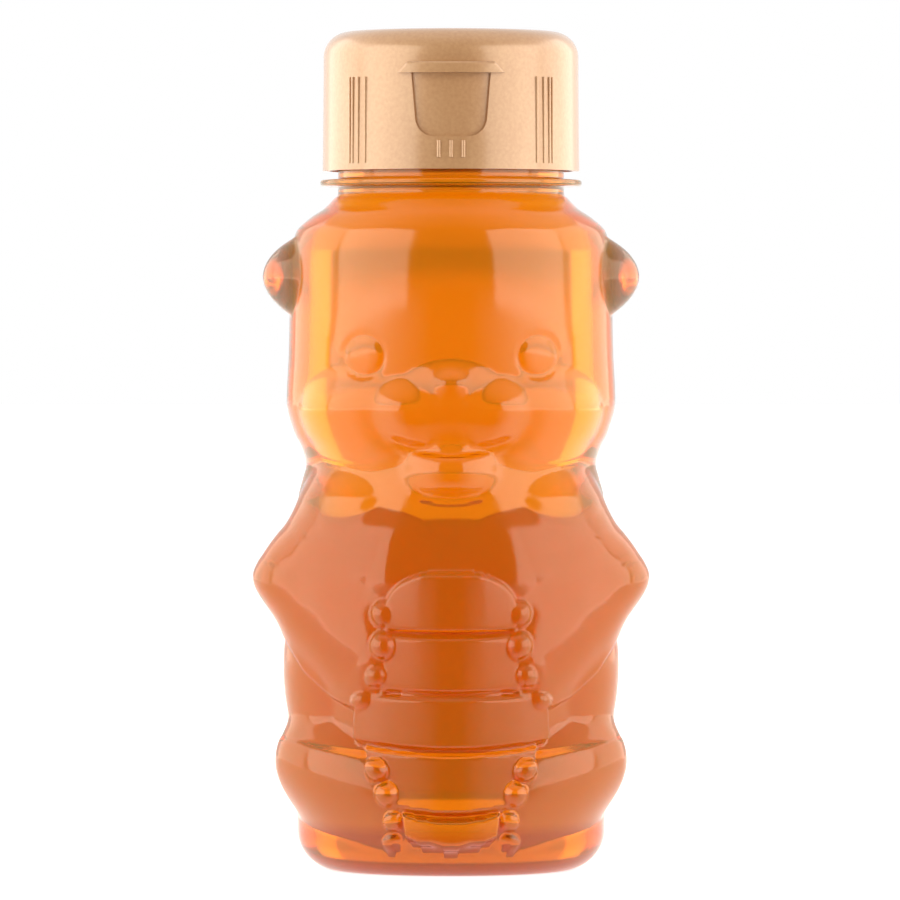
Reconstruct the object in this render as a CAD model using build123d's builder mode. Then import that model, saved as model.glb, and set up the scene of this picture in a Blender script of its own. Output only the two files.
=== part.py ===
from build123d import *
from math import asin, cos, degrees, pi, radians, sin, sqrt
import os

# A squeeze bottle for honey in the shape of a sitting bear, with a snap-hinge screw cap.
# The bear faces -Y and stands on z = 0. The neck and the cap are round about the Z axis.
# Lengths are in millimetres, and angles on the bear are in degrees from its front.

# Walls and clearances
wall = 0.8
honey_gap = 0.1
label_gap = 0.08
overrun = 1.0

# The bear, from its base up to the neck
body_height = 104.9
body_half_width = 24.0
body_half_depth = 20.6
base_corner = 6.0
push_up_share = 0.65
push_up_height = 2.6

# The oval of the trunk and the skull. Each row is a height, a half width and a half depth.
# Between the base and the armpits it stays even, so that the back can carry a label.
oval_shares = [
    (0.0, 0.99, 0.99),
    (0.076, 1.0, 1.0),
    (0.50, 1.0, 1.0),
    (0.553, 0.992, 0.948),
    (0.586, 0.958, 0.892),
    (0.603, 0.933, 0.880),
    (0.627, 0.967, 0.912),
    (0.651, 1.018, 0.962),
    (0.696, 1.066, 1.018),
    (0.772, 1.052, 1.028),
    (0.915, 1.037, 1.018),
    (0.949, 1.004, 0.995),
    (0.972, 0.904, 0.955),
    (0.985, 0.817, 0.915),
    (1.0, 0.754, 0.884),
]

# The swellings of the face, the arms, the belly and the legs. Each one runs between two
# places, given as an angle and a share of the body's height. Then come its half breadth
# and its rise at both places, as shares of the body's half depth, how much taller than
# broad it is, and how softly its foot runs out.
swelling_shares = {
    "ear": ((86, 0.884), (86, 0.884), (0.22, 0.22), (0.215, 0.215), 1.35, 1.0),
    "forehead": ((0, 0.885), (0, 0.885), (1.0, 1.0), (0.095, 0.095), 0.72, 1.5),
    "cheek": ((38, 0.694), (38, 0.694), (0.53, 0.53), (0.134, 0.134), 0.74, 1.3),
    "muzzle": ((0, 0.692), (0, 0.692), (0.52, 0.52), (0.15, 0.15), 0.75, 1.2),
    "lip": ((21, 0.690), (21, 0.690), (0.40, 0.40), (0.175, 0.175), 0.85, 1.3),
    "nose": ((0, 0.724), (0, 0.724), (0.19, 0.19), (0.17, 0.17), 0.70, 1.0),
    "chin": ((0, 0.60), (0, 0.60), (0.454, 0.454), (0.204, 0.204), 0.50, 1.2),
    "upper arm": ((55, 0.530), (75, 0.440), (0.50, 0.44), (0.14, 0.30), 1.0, 1.3),
    "forearm": ((75, 0.437), (32, 0.340), (0.44, 0.42), (0.30, 0.165), 1.15, 1.0),
    "shoulder": ((35, 0.47), (60, 0.47), (0.55, 0.55), (0.07, 0.12), 0.9, 1.5),
    "belly": ((0, 0.305), (0, 0.305), (1.2, 1.2), (0.13, 0.13), 1.0, 1.5),
    "hip": ((73, 0.305), (73, 0.305), (0.48, 0.48), (0.14, 0.14), 1.6, 1.2),
    "leg": ((70, 0.165), (29, 0.125), (0.46, 0.42), (0.225, 0.17), 1.05, 1.4),
}
swelling_blend = 4

# The loft's sections: in the base's corner, up the body and round the shoulder of the head
corner_sections = 4
body_sections = 34
shoulder_sections = 8
shoulder_share = 0.93
section_points = 48
search_steps = 8

# The eyes, low domes beside the muzzle: how far across and how high, as shares of the body's
# half width and height
eye_across_share = 0.558
eye_height_share = 0.7665
eye_radius = 2.75
eye_rise = 0.7

# The hive that the bear holds before its belly, in bands that are slices of one drum. Its
# front, its drum and its depth are shares of the body's half depth. Each groove below a band
# is a height and a sag; each band is its half width above and below.
hive_front_share = 1.18
hive_drum_share = 1.31
hive_depth_share = 0.39
hive_bevel = 0.6
hive_groove_gap = 0.3
hive_top_share = 0.453
hive_groove_shares = [(0.362, 0.003), (0.277, 0.006), (0.200, 0.012), (0.106, 0.013), (0.060, 0.018)]
hive_width_shares = [(0.43, 0.43), (0.44, 0.45), (0.61, 0.61), (0.56, 0.41), (0.33, 0.28)]

# Fingers and toes on each side: how far across and how high, as shares of the body's half
# width and height, their radii as shares of the first finger's, itself a share of the body's
# half depth, and how deep they sink. The two with a minus stand out, to lie on the hive.
digit_radius_share = 0.112
digit_shares = [
    (0.437, 0.388, 1.00, 0.35),
    (0.441, 0.342, 1.00, 0.35),
    (0.487, 0.298, 0.87, 0.35),
    (0.556, 0.262, 0.70, -0.30),
    (0.462, 0.161, 0.80, -0.35),
    (0.412, 0.126, 0.87, 0.20),
    (0.371, 0.088, 0.78, 0.25),
    (0.383, 0.056, 0.70, 0.35),
]

# The neck, with the ring by which a filling line carries the bottle
neck_radius = 17.65
neck_wall = 1.75
neck_length = 15.5
neck_edge_round = 0.5
flange_reach = 0.35
flange_thickness = 1.0
flange_rise = 1.8
flange_edge_round = 0.4
neck_bore_radius = neck_radius - neck_wall
mouth_height = body_height + neck_length

# The honey stands a little above the flange
honey_rise = 7.1

# The label round the trunk's back: its lower and upper edge as shares of the body's height,
# and how far behind the bear's middle it ends, as a share of the half depth
label_edge_shares = (0.1, 0.491)
label_reach_share = 0.28
label_thickness = 0.12

# The liner, a soft washer that the cap presses on the mouth
liner_thickness = 0.8
liner_inner_radius = 12.0
liner_side_gap = 0.45

# The cap's base
thread_room = 1.3
cap_wall = 1.1
cap_taper = 0.15
skirt_rise = 4.2
deck_thickness = 1.4
deck_drop = 1.25
collar_height = 1.2
collar_thickness = 1.0
collar_gap = 0.3
spout_bore_radius = 3.2
spout_wall = 1.2
spout_foot = 1.4
spout_height = 4.4
spout_edge_round = 0.5
cap_bore_radius = neck_radius + thread_room
cap_radius = cap_bore_radius + cap_wall
cap_top_radius = cap_radius - cap_taper
skirt_bottom = body_height + skirt_rise
deck_bottom = mouth_height + liner_thickness
deck_top = deck_bottom + deck_thickness
parting = deck_top + deck_drop
spout_top = deck_top + spout_height

# The thumb recess in the skirt's front, and the ribs beside and below it
recess_half_width = 6.2
recess_foot_half_width = 5.3
recess_height = 9.8
recess_corner = 3.0
recess_depth = 0.6
rib_radius = 0.3
rib_top_gap = 0.5
rib_bottom_gap = 1.0
rib_angles = [41.4, 45.8, 49.4, 51.5]
mark_spacing = 1.9
mark_count = 3
mark_height = 2.6
mark_gap = 0.6

# The lid
lid_height = 7.45
lid_wall = 1.2
lid_corner = 4.0
lid_crown = 0.5
brow_half_width = 8.3
brow_top_half_width = 6.7
brow_height = 1.7
brow_reach = 1.0
brow_round = 0.5
plug_gap = 0.35
plug_wall = 0.9
plug_depth = 1.5

# The hinge behind: flat pads on the base and the lid, two thin films and a spring between
pad_half_width = 8.5
pad_depth = 3.0
base_pad_height = 6.5
lid_pad_height = 4.6
pad_round = 0.6
film_half_width = 1.6
film_offset = 6.2
film_thickness = 0.3
film_reach = 1.3
spring_half_width = 2.6
spring_thickness = 0.5
spring_reach = 2.2


def between(height_share, column):
    """The oval's share at a height, smoothly between the rows and level where they are level."""
    rows = oval_shares
    last = len(rows) - 2
    k = max(i for i in range(last + 1) if i == 0 or rows[i][0] <= height_share)
    steps = [(rows[i + 1][column] - rows[i][column]) / (rows[i + 1][0] - rows[i][0])
             for i in range(last + 1)]

    def slope(i):
        before, after = steps[max(i - 1, 0)], steps[min(i, last)]
        return 2 * before * after / (before + after) if before * after > 0 else 0

    span = rows[k + 1][0] - rows[k][0]
    t = min(max((height_share - rows[k][0]) / span, 0), 1)
    start, end = rows[k][column], rows[k + 1][column]
    straight = start + (end - start) * t * t * (3 - 2 * t)
    return straight + span * t * (1 - t) * (slope(k) * (1 - t) - slope(k + 1) * t)


def swelling(shares, angle, height):
    """How far one swelling lifts the form at an angle and a height."""
    (start_angle, start_height), (end_angle, end_height), breadths, rises, tall, foot = shares
    along = radians(angle - start_angle) * body_half_depth
    up = height - start_height * body_height
    run = radians(end_angle - start_angle) * body_half_depth
    climb = (end_height - start_height) * body_height
    length = run**2 + climb**2
    t = min(max((along * run + up * climb) / length, 0), 1) if length else 0
    breadth = (breadths[0] + (breadths[1] - breadths[0]) * t) * body_half_depth
    rise = (rises[0] + (rises[1] - rises[0]) * t) * body_half_depth
    away = ((along - run * t) / breadth)**2 + ((up - climb * t) / (breadth * tall))**2
    return rise * (1 - away)**foot if away < 1 else 0


def surface_radius(angle, height, inset=0):
    """The form's distance from the Z axis, drawn in by an inset and rounded into the base."""
    half_width = body_half_width * between(height / body_height, 1)
    half_depth = body_half_depth * between(height / body_height, 2)
    oval = 1 / sqrt((sin(radians(angle)) / half_width)**2 + (cos(radians(angle)) / half_depth)**2)
    lifts = [swelling(shares, abs(angle), height) for shares in swelling_shares.values()]
    lift = sum(one**swelling_blend for one in lifts)**(1 / swelling_blend)
    corner = base_corner - inset
    below = max(corner - (height - inset), 0)
    return oval + lift - inset - (corner - sqrt(max(corner**2 - below**2, 0)))


def surface_point(angle, height, inset=0):
    """A point of the form, seen from above."""
    radius = surface_radius(angle, height, inset)
    return (radius * sin(radians(angle)), -radius * cos(radians(angle)))


def angle_across(across, height):
    """The angle at which the form's front lies that far across."""
    angle = degrees(asin(across / body_half_width))
    for _ in range(search_steps):
        angle = degrees(asin(across / surface_radius(angle, height)))
    return angle


def section_heights(inset):
    """Heights of the sections, close together where the form turns in at its ends."""
    corner = base_corner - inset
    shoulder = shoulder_share * body_height
    top = body_height - inset
    low = [inset + corner * (1 - cos(pi / 2 * k / corner_sections)) for k in range(corner_sections)]
    middle = [base_corner + (shoulder - base_corner) * k / body_sections for k in range(body_sections)]
    high = [shoulder + (top - shoulder) * k / shoulder_sections for k in range(shoulder_sections + 1)]
    return low + middle + high


def bear_form(inset=0):
    """The bear as one loft through sections of the form, drawn in by an inset."""
    params = [k / section_points for k in range(section_points + 1)]
    with BuildPart() as form:
        for height in section_heights(inset):
            points = [Vector(*surface_point(360 * share - 180, height, inset)) for share in params[:-1]]
            with BuildSketch(Plane.XY.offset(height)):
                with BuildLine():
                    add(Edge.make_spline(points, periodic=True, parameters=params))
                make_face()
        loft()
    return form.part


def push_up(grow=0):
    """The dome under the base, part of a ball, which leaves a ring for the bottle to stand on."""
    rim = push_up_share * body_half_depth
    ball = (rim**2 + push_up_height**2) / (2 * push_up_height)
    with BuildPart() as dome:
        with Locations(Plane((0, 0, push_up_height - ball), x_dir=(0, 0, -1), z_dir=(1, 0, 0))):
            Sphere(ball + grow)
    return dome.part


def neck_form():
    """The neck with its ring and its rounded lip, from just inside the bear's top."""
    ring_bottom = body_height + flange_rise
    ring_top = ring_bottom + flange_thickness
    with BuildPart() as neck:
        with BuildSketch(Plane.XZ) as outline:
            Polygon(
                (0, body_height - overrun),
                (neck_radius, body_height - overrun),
                (neck_radius, ring_bottom),
                (cap_radius + flange_reach, ring_bottom),
                (cap_radius + flange_reach, ring_top),
                (neck_radius, ring_top),
                (neck_radius, mouth_height),
                (0, mouth_height),
                align=None,
            )
            fillet(outline.vertices().group_by(Axis.Y)[-1].sort_by(Axis.X)[-1], neck_edge_round)
            fillet(outline.vertices().group_by(Axis.X)[-1], flange_edge_round)
        revolve(outline.sketch)
    return neck.part


def cavity(inset, bore_radius, top):
    """The room inside the bear and its neck, up to a height."""
    with BuildPart() as room:
        add(bear_form(inset))
        add(push_up(inset), mode=Mode.SUBTRACT)
        with BuildSketch(Plane.XY.offset(body_height - wall - overrun)):
            Circle(bore_radius)
        extrude(amount=top - (body_height - wall - overrun))
    return room.part


def hive_band(k):
    """One band of the hive as a slice of the drum, drawn in front view."""
    groove, sag = hive_groove_shares[k]
    above, above_sag = hive_groove_shares[k - 1] if k else (hive_top_share, 0)
    top_half, bottom_half = [share * body_half_width for share in hive_width_shares[k]]
    top = above * body_height - (hive_groove_gap if k else 0)
    bottom = groove * body_height
    front_depth = hive_front_share * body_half_depth
    drum_radius = hive_drum_share * body_half_depth
    depth = hive_depth_share * body_half_depth
    with BuildPart() as band:
        with BuildSketch(Plane.XZ.offset(front_depth - depth)):
            with BuildLine():
                Line((-top_half, top if k else bottom + (top - bottom) / 3), (-bottom_half, bottom))
                ThreePointArc((-bottom_half, bottom), (0, bottom - sag * body_height), (bottom_half, bottom))
                Line((bottom_half, bottom), (top_half, top if k else bottom + (top - bottom) / 3))
                if k:
                    ThreePointArc((top_half, top), (0, top - above_sag * body_height), (-top_half, top))
                else:
                    shoulder = bottom + (top - bottom) / 3
                    Spline((top_half, shoulder), (0, top), (-top_half, shoulder),
                           tangents=[(0, 1), (0, -1)])
            make_face()
        extrude(amount=depth + overrun)
        with BuildSketch(Plane.XY) as drum:
            with Locations((0, drum_radius - front_depth)):
                Circle(drum_radius)
        extrude(drum.sketch, amount=body_height, mode=Mode.INTERSECT)
        front = band.faces().sort_by(Axis.Y)[0]
        chamfer(front.edges(), hive_bevel)
    return band.part


def small_features():
    """The hive, the fingers and toes and the eyes, joined before they meet the bear."""
    eye_ball = (eye_radius**2 + eye_rise**2) / (2 * eye_rise)
    bumps = [(eye_across_share, eye_height_share, eye_ball, eye_ball - eye_rise)]
    for across, height, size, sink in digit_shares:
        radius = size * digit_radius_share * body_half_depth
        bumps.append((across, height, radius, sink * radius))
    with BuildPart() as features:
        for k in range(len(hive_width_shares)):
            add(hive_band(k))
        for side in (1, -1):
            for across, height, radius, sink in bumps:
                level = height * body_height
                angle = side * angle_across(across * body_half_width, level)
                out = (sin(radians(angle)), -cos(radians(angle)), 0)
                with Locations(Plane((*surface_point(angle, level, sink), level), z_dir=out)):
                    Sphere(radius)
    return features.part


# The bottle
bear = bear_form()
features = small_features()
room = cavity(wall, neck_bore_radius, mouth_height + overrun)

with BuildPart() as bottle:
    add(bear)
    add(features)
    add(push_up(), mode=Mode.SUBTRACT)
    add(neck_form())
    add(room, mode=Mode.SUBTRACT)
bottle.part.label = "bottle"

# The honey
with BuildPart() as honey:
    add(cavity(wall + honey_gap, neck_bore_radius - honey_gap, body_height + honey_rise))
honey.part.label = "honey"

# The label behind
with BuildPart() as back_label:
    inner = label_gap
    outer = label_gap + label_thickness
    label_bottom, label_top = [share * body_height for share in label_edge_shares]
    with BuildSketch(Plane.XY.offset(label_bottom)):
        Ellipse(body_half_width + outer, body_half_depth + outer)
        Ellipse(body_half_width + inner, body_half_depth + inner, mode=Mode.SUBTRACT)
        with Locations((0, label_reach_share * body_half_depth)):
            Rectangle(3 * body_half_width, body_half_depth + overrun,
                      align=(Align.CENTER, Align.MIN), mode=Mode.INTERSECT)
    extrude(amount=label_top - label_bottom)
back_label.part.label = "back_label"

# The liner
with BuildPart() as cap_liner:
    with BuildSketch(Plane.XY.offset(mouth_height)):
        Circle(cap_bore_radius - liner_side_gap)
        Circle(liner_inner_radius, mode=Mode.SUBTRACT)
    extrude(amount=liner_thickness)
cap_liner.part.label = "cap_liner"


def recess_tool():
    """What the thumb recess takes from the skirt: a shield shape, cut to an even depth."""
    top = parting + overrun
    foot = parting - recess_height
    with BuildPart() as tool:
        with BuildSketch(Plane.XZ.offset(cap_radius / 2)):
            Polygon((-recess_half_width, top), (recess_half_width, top),
                    (recess_foot_half_width, foot), (-recess_foot_half_width, foot), align=None)
        extrude(amount=cap_radius / 2 + overrun)
        fillet(tool.edges().filter_by(Axis.Y).group_by(Axis.Z)[0], recess_corner)
        with BuildSketch(Plane.XY.offset(foot - overrun)) as core:
            Circle(cap_radius - recess_depth)
        extrude(core.sketch, amount=recess_height + 3 * overrun, mode=Mode.SUBTRACT)
    return tool.part


def brow_form():
    """The brow on the lid's front, a low shield whose face follows the lid."""
    with BuildPart() as brow:
        with BuildSketch(Plane.XZ.offset(cap_top_radius - lid_wall / 2 - brow_reach)):
            Polygon((-brow_half_width, parting), (brow_half_width, parting),
                    (brow_top_half_width, parting + brow_height),
                    (-brow_top_half_width, parting + brow_height), align=None)
        extrude(amount=lid_wall + 3 * brow_reach)
        with BuildSketch(Plane.XY.offset(parting)) as drum:
            Circle(cap_top_radius + brow_reach)
        extrude(drum.sketch, amount=brow_height, mode=Mode.INTERSECT)
        with BuildSketch(Plane.XY.offset(parting)) as core:
            Circle(cap_top_radius - lid_wall / 2)
        extrude(core.sketch, amount=brow_height, mode=Mode.SUBTRACT)
        front = brow.faces().sort_by(Axis.Y)[0]
        fillet(front.edges().sort_by(Axis.Z)[1:], brow_round)
    return brow.part


# The cap's base, with the skirt, the deck, the collar that the lid closes on, and the spout
recess = recess_tool()
collar_radius = cap_top_radius - lid_wall - collar_gap
with BuildPart() as cap_base:
    with BuildSketch(Plane.XZ):
        with BuildLine():
            Polyline(
                (cap_bore_radius, skirt_bottom),
                (cap_radius, skirt_bottom),
                (cap_top_radius, parting),
                (collar_radius, parting),
                (collar_radius, parting + collar_height),
                (collar_radius - collar_thickness, parting + collar_height),
                (collar_radius - collar_thickness, deck_top),
                (spout_bore_radius + spout_wall + spout_foot, deck_top),
                (spout_bore_radius + spout_wall, spout_top),
                (spout_bore_radius, spout_top),
                (spout_bore_radius, deck_bottom),
                (cap_bore_radius, deck_bottom),
                close=True,
            )
        make_face()
    revolve()
    fillet(cap_base.edges().filter_by(GeomType.CIRCLE).group_by(Axis.Z)[-1], spout_edge_round)
    with BuildSketch(Plane.XY.offset(parting - base_pad_height)):
        with Locations((0, cap_radius)):
            RectangleRounded(2 * pad_half_width, 2 * pad_depth, pad_round)
        with Locations((0, cap_radius)):
            Rectangle(3 * pad_half_width, 3 * pad_depth, align=(Align.CENTER, Align.MIN), mode=Mode.SUBTRACT)
        Circle(cap_radius - cap_wall / 2, mode=Mode.SUBTRACT)
    extrude(amount=base_pad_height)
    add(recess, mode=Mode.SUBTRACT)
    for angle in rib_angles:
        for side in (1, -1):
            turn = radians(side * angle)
            with BuildSketch(Plane.XY.offset(skirt_bottom + rib_bottom_gap)):
                with Locations((cap_top_radius * sin(turn), -cap_top_radius * cos(turn))):
                    Circle(rib_radius)
            extrude(amount=parting - skirt_bottom - rib_bottom_gap - rib_top_gap)
    with BuildSketch(Plane.XY.offset(parting - recess_height - mark_gap)):
        with Locations((0, -cap_radius + rib_radius / 2)):
            with GridLocations(mark_spacing, 0, mark_count, 1):
                Circle(rib_radius)
    extrude(amount=-mark_height)
cap_base.part.label = "cap_base"

# The lid, a shallow cap with a plug for the spout and a brow to lift it by
brow = brow_form()
with BuildPart() as cap_lid:
    lid_top = parting + lid_height
    ceiling = lid_top - lid_crown - lid_wall
    with BuildSketch(Plane.XZ):
        with BuildLine():
            rim = (cap_top_radius - lid_corner, lid_top - lid_crown)
            Line((cap_top_radius, parting), (cap_top_radius, lid_top - lid_crown - lid_corner))
            RadiusArc((cap_top_radius, lid_top - lid_crown - lid_corner), rim, -lid_corner)
            Spline(rim, (0, lid_top), tangents=[(-1, 0), (-1, 0)])
            Polyline(
                (0, lid_top),
                (0, ceiling),
                (cap_top_radius - lid_wall - lid_corner / 2, ceiling),
                (cap_top_radius - lid_wall, ceiling - lid_corner / 2),
                (cap_top_radius - lid_wall, parting),
                (cap_top_radius, parting),
            )
        make_face()
    revolve()
    with BuildSketch(Plane.XY.offset(spout_top - plug_depth)):
        Circle(spout_bore_radius - plug_gap)
        Circle(spout_bore_radius - plug_gap - plug_wall, mode=Mode.SUBTRACT)
    extrude(amount=ceiling - spout_top + plug_depth)
    with BuildSketch(Plane.XY.offset(parting)):
        with Locations((0, cap_radius)):
            RectangleRounded(2 * pad_half_width, 2 * pad_depth, pad_round)
        with Locations((0, cap_radius)):
            Rectangle(3 * pad_half_width, 3 * pad_depth, align=(Align.CENTER, Align.MIN), mode=Mode.SUBTRACT)
        Circle(cap_top_radius - lid_wall / 2, mode=Mode.SUBTRACT)
    extrude(amount=lid_pad_height)
    add(brow)
cap_lid.part.label = "cap_lid"

# The hinge
def strap(centre, half_width, thickness, reach):
    """A thin strap on the flat back of both pads, across the parting."""
    with BuildPart() as band:
        with BuildSketch(Plane.XZ.offset(-cap_radius)):
            with Locations((centre, parting)):
                Rectangle(2 * half_width, 2 * reach)
        extrude(amount=-thickness)
    return band.part


with BuildPart() as hinge_film_left:
    add(strap(film_offset, film_half_width, film_thickness, film_reach))
hinge_film_left.part.label = "hinge_film_left"

with BuildPart() as hinge_film_right:
    add(strap(-film_offset, film_half_width, film_thickness, film_reach))
hinge_film_right.part.label = "hinge_film_right"

with BuildPart() as hinge_spring:
    add(strap(0, spring_half_width, spring_thickness, spring_reach))
hinge_spring.part.label = "hinge_spring"

os.makedirs("parts", exist_ok=True)
for piece in (bottle, honey, back_label, cap_liner, cap_base, cap_lid,
              hinge_film_left, hinge_film_right, hinge_spring):
    export_step(piece.part, f"parts/{piece.part.label}.step")
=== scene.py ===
# %% [markdown]
# # A honey bear bottle
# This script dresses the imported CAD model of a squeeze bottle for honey. The bottle is a
# sitting bear, blown from clear plastic, and it wears a gold cap with a snap hinge.
#
# The CAD model is the fixed frame: every piece below takes its place and its size from it.
# Lengths in the recipes are millimetres, because that is how a mould maker thinks. They turn
# into Blender's metres at the moment a mesh is made.

from math import asin, cos, degrees, pi, radians, sin, sqrt, tan

import bpy
import numpy as np
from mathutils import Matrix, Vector


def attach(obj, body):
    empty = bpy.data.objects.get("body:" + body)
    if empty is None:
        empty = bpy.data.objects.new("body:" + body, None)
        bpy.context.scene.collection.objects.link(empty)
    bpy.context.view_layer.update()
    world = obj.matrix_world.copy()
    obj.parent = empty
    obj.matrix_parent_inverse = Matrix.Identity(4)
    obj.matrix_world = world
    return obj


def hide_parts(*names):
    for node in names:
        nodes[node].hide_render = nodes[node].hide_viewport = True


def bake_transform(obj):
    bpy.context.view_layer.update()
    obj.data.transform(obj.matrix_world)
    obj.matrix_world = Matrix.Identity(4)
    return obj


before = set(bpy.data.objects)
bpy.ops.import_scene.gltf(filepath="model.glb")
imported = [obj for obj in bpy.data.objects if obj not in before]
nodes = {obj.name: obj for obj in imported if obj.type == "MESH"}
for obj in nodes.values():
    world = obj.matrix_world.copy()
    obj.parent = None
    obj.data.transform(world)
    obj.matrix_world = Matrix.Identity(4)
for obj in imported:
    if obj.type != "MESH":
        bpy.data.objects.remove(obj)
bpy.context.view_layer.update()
print("CAD nodes:", sorted(nodes))

# %% [markdown]
# The camera comes first, so that each piece can be judged from the right place. The photograph
# was taken from a little over a metre away with a long lens, nearly level with the bear's face
# and tilted down by about one degree.

# %% The camera
camera_distance = 1.094
camera_height = 0.0858
camera_aside = -0.00016
tilt_down = radians(1.06)
long_lens = 280.0
sensor_width = 36.0
farthest_seen = 50.0

camera_data = bpy.data.cameras.new("camera")
camera_data.lens = long_lens
camera_data.sensor_width = sensor_width
camera_data.clip_end = farthest_seen
camera = bpy.data.objects.new("camera", camera_data)
camera.location = (camera_aside, -camera_distance, camera_height)
camera.rotation_euler = (pi / 2 - tilt_down, 0, 0)
bpy.context.scene.collection.objects.link(camera)
bpy.context.scene.camera = camera
print("camera looks at height", round(camera_height - camera_distance * tan(tilt_down), 4))

# %% [markdown]
# Small helpers make meshes. The first turns points in millimetres and a list of faces into an
# object. The others close a grid of points that runs round the upright axis: each row is a
# ring, and the rings are joined one to the next. Most of the bottle is such a grid, as on a
# potter's wheel, but with a radius that differs round the ring.

# %% Mesh helpers
MM = 0.001


def make_piece(name, points, faces):
    """A smooth object from points in millimetres."""
    mesh = bpy.data.meshes.new(name)
    mesh.from_pydata([tuple(p) for p in np.asarray(points) * MM], [], faces)
    mesh.polygons.foreach_set("use_smooth", [True] * len(mesh.polygons))
    mesh.update()
    piece = bpy.data.objects.new(name, mesh)
    bpy.context.scene.collection.objects.link(piece)
    return piece


def ring_faces(rows, columns):
    """Four-sided faces between rings that each have that many columns."""
    faces = []
    for r in range(rows - 1):
        for c in range(columns):
            a = r * columns + c
            b = r * columns + (c + 1) % columns
            faces.append((a, b, b + columns, a + columns))
    return faces


def turned(name, angles, radii, heights, start=None, end=None):
    """A closed grid about the upright axis. The radii have a row for each height and a column
    for each angle. Start and end are heights on the axis that close it."""
    columns = len(angles)
    x = radii * np.sin(np.radians(angles))
    y = -radii * np.cos(np.radians(angles))
    z = np.broadcast_to(np.asarray(heights, float).reshape(len(heights), -1), x.shape)
    points = np.stack([x, y, z], axis=-1).reshape(-1, 3)
    faces = ring_faces(len(heights), columns)
    extra = []
    if start is not None:
        extra.append((0, 0, start))
        faces += [(len(points), (c + 1) % columns, c) for c in range(columns)]
    if end is not None:
        last = (len(heights) - 1) * columns
        faces += [(len(points) + len(extra), last + c, last + (c + 1) % columns) for c in range(columns)]
        extra.append((0, 0, end))
    if extra:
        points = np.vstack([points, extra])
    return make_piece(name, points, faces)


# %% [markdown]
# A bear blown in a mould has no hard edges, so its form can be one formula: the distance from
# the upright axis at each angle and height. The sizes come first. Everything on the bear is a
# share of one of them.

# %% The bear's sizes
body_height = 104.9
half_width = 24.0
half_depth = 20.6
base_corner = 6.0
print("body", body_height, "mm tall,", 2 * half_width, "wide,", 2 * half_depth, "deep")

# %% [markdown]
# An even oval makes the trunk and the skull, wider or narrower from place to place. It has to
# change without kinks, so each row gets a slope before the curve is drawn: a waist or a widest
# place is level, and any other row leans as both of its neighbours do.

# %% The oval
# Each row is a height, a half width and a half depth, as shares of the three sizes.
oval_rows = np.array([
    (0.0, 0.99, 0.99),
    (0.076, 1.0, 1.0),
    (0.50, 1.0, 1.0),
    (0.553, 0.992, 0.970),
    (0.586, 0.958, 0.932),
    (0.603, 0.940, 0.920),
    (0.627, 0.967, 0.945),
    (0.651, 1.018, 0.962),
    (0.696, 1.066, 1.018),
    (0.772, 1.052, 1.028),
    (0.915, 1.037, 1.018),
    (0.949, 1.004, 0.995),
    (0.972, 0.904, 0.955),
    (0.985, 0.817, 0.915),
    (1.0, 0.754, 0.884),
])


def oval_share(heights, column):
    """The oval's share at some heights, smooth between the rows and level where they are."""
    rows = oval_rows
    at = np.clip(np.asarray(heights, float) / body_height, 0, 1)
    steps = np.diff(rows[:, column]) / np.diff(rows[:, 0])
    before = np.concatenate([steps[:1], steps])
    after = np.concatenate([steps, steps[-1:]])
    same_way = before * after > 0
    slopes = np.where(same_way, 2 * before * after / np.where(same_way, before + after, 1), 0)
    k = np.clip(np.searchsorted(rows[:, 0], at, side="right") - 1, 0, len(rows) - 2)
    span = rows[k + 1, 0] - rows[k, 0]
    t = np.clip((at - rows[k, 0]) / span, 0, 1)
    start, end = rows[k, column], rows[k + 1, column]
    straight = start + (end - start) * t * t * (3 - 2 * t)
    return straight + span * t * (1 - t) * (slopes[k] * (1 - t) - slopes[k + 1] * t)


print("waist", round(2 * half_width * float(oval_rows[5, 1]), 1), "mm wide")

# %% [markdown]
# On the oval sit swellings, soft hills that each run between two places: the cheeks, the
# muzzle, the arms, the belly and the legs. Nearly the same numbers made the CAD solid, so this
# skin lies close to it. The face and the arms are a little softer here, as in the photograph.

# %% The swellings
# Start and end as an angle and a height, half breadths, rises, how tall, how soft the foot is
swellings = {
    "ear": ((86, 0.884), (86, 0.884), (0.22, 0.22), (0.215, 0.215), 1.35, 1.0),
    "forehead": ((0, 0.885), (0, 0.885), (1.1, 1.1), (0.065, 0.065), 0.85, 1.7),
    "cheek": ((44, 0.670), (44, 0.670), (0.52, 0.52), (0.11, 0.11), 0.80, 1.5),
    "muzzle": ((0, 0.694), (0, 0.694), (0.46, 0.46), (0.10, 0.10), 0.90, 1.5),
    "lip": ((19, 0.678), (19, 0.678), (0.34, 0.34), (0.135, 0.135), 0.95, 1.6),
    "nose": ((0, 0.724), (0, 0.724), (0.20, 0.20), (0.11, 0.11), 0.80, 1.5),
    "chin": ((0, 0.60), (0, 0.60), (0.454, 0.454), (0.165, 0.165), 0.55, 1.7),
    "upper arm": ((58, 0.520), (75, 0.440), (0.50, 0.44), (0.13, 0.30), 1.0, 1.5),
    "forearm": ((75, 0.437), (32, 0.330), (0.44, 0.46), (0.30, 0.17), 1.15, 1.25),
    "shoulder": ((33, 0.435), (60, 0.46), (0.62, 0.62), (0.12, 0.20), 0.95, 1.4),
    "belly": ((0, 0.305), (0, 0.305), (1.2, 1.2), (0.13, 0.13), 1.0, 1.5),
    "hip": ((73, 0.305), (73, 0.305), (0.48, 0.48), (0.14, 0.14), 1.6, 1.2),
    "leg": ((70, 0.165), (29, 0.125), (0.46, 0.42), (0.225, 0.17), 1.05, 1.4),
}


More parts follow.
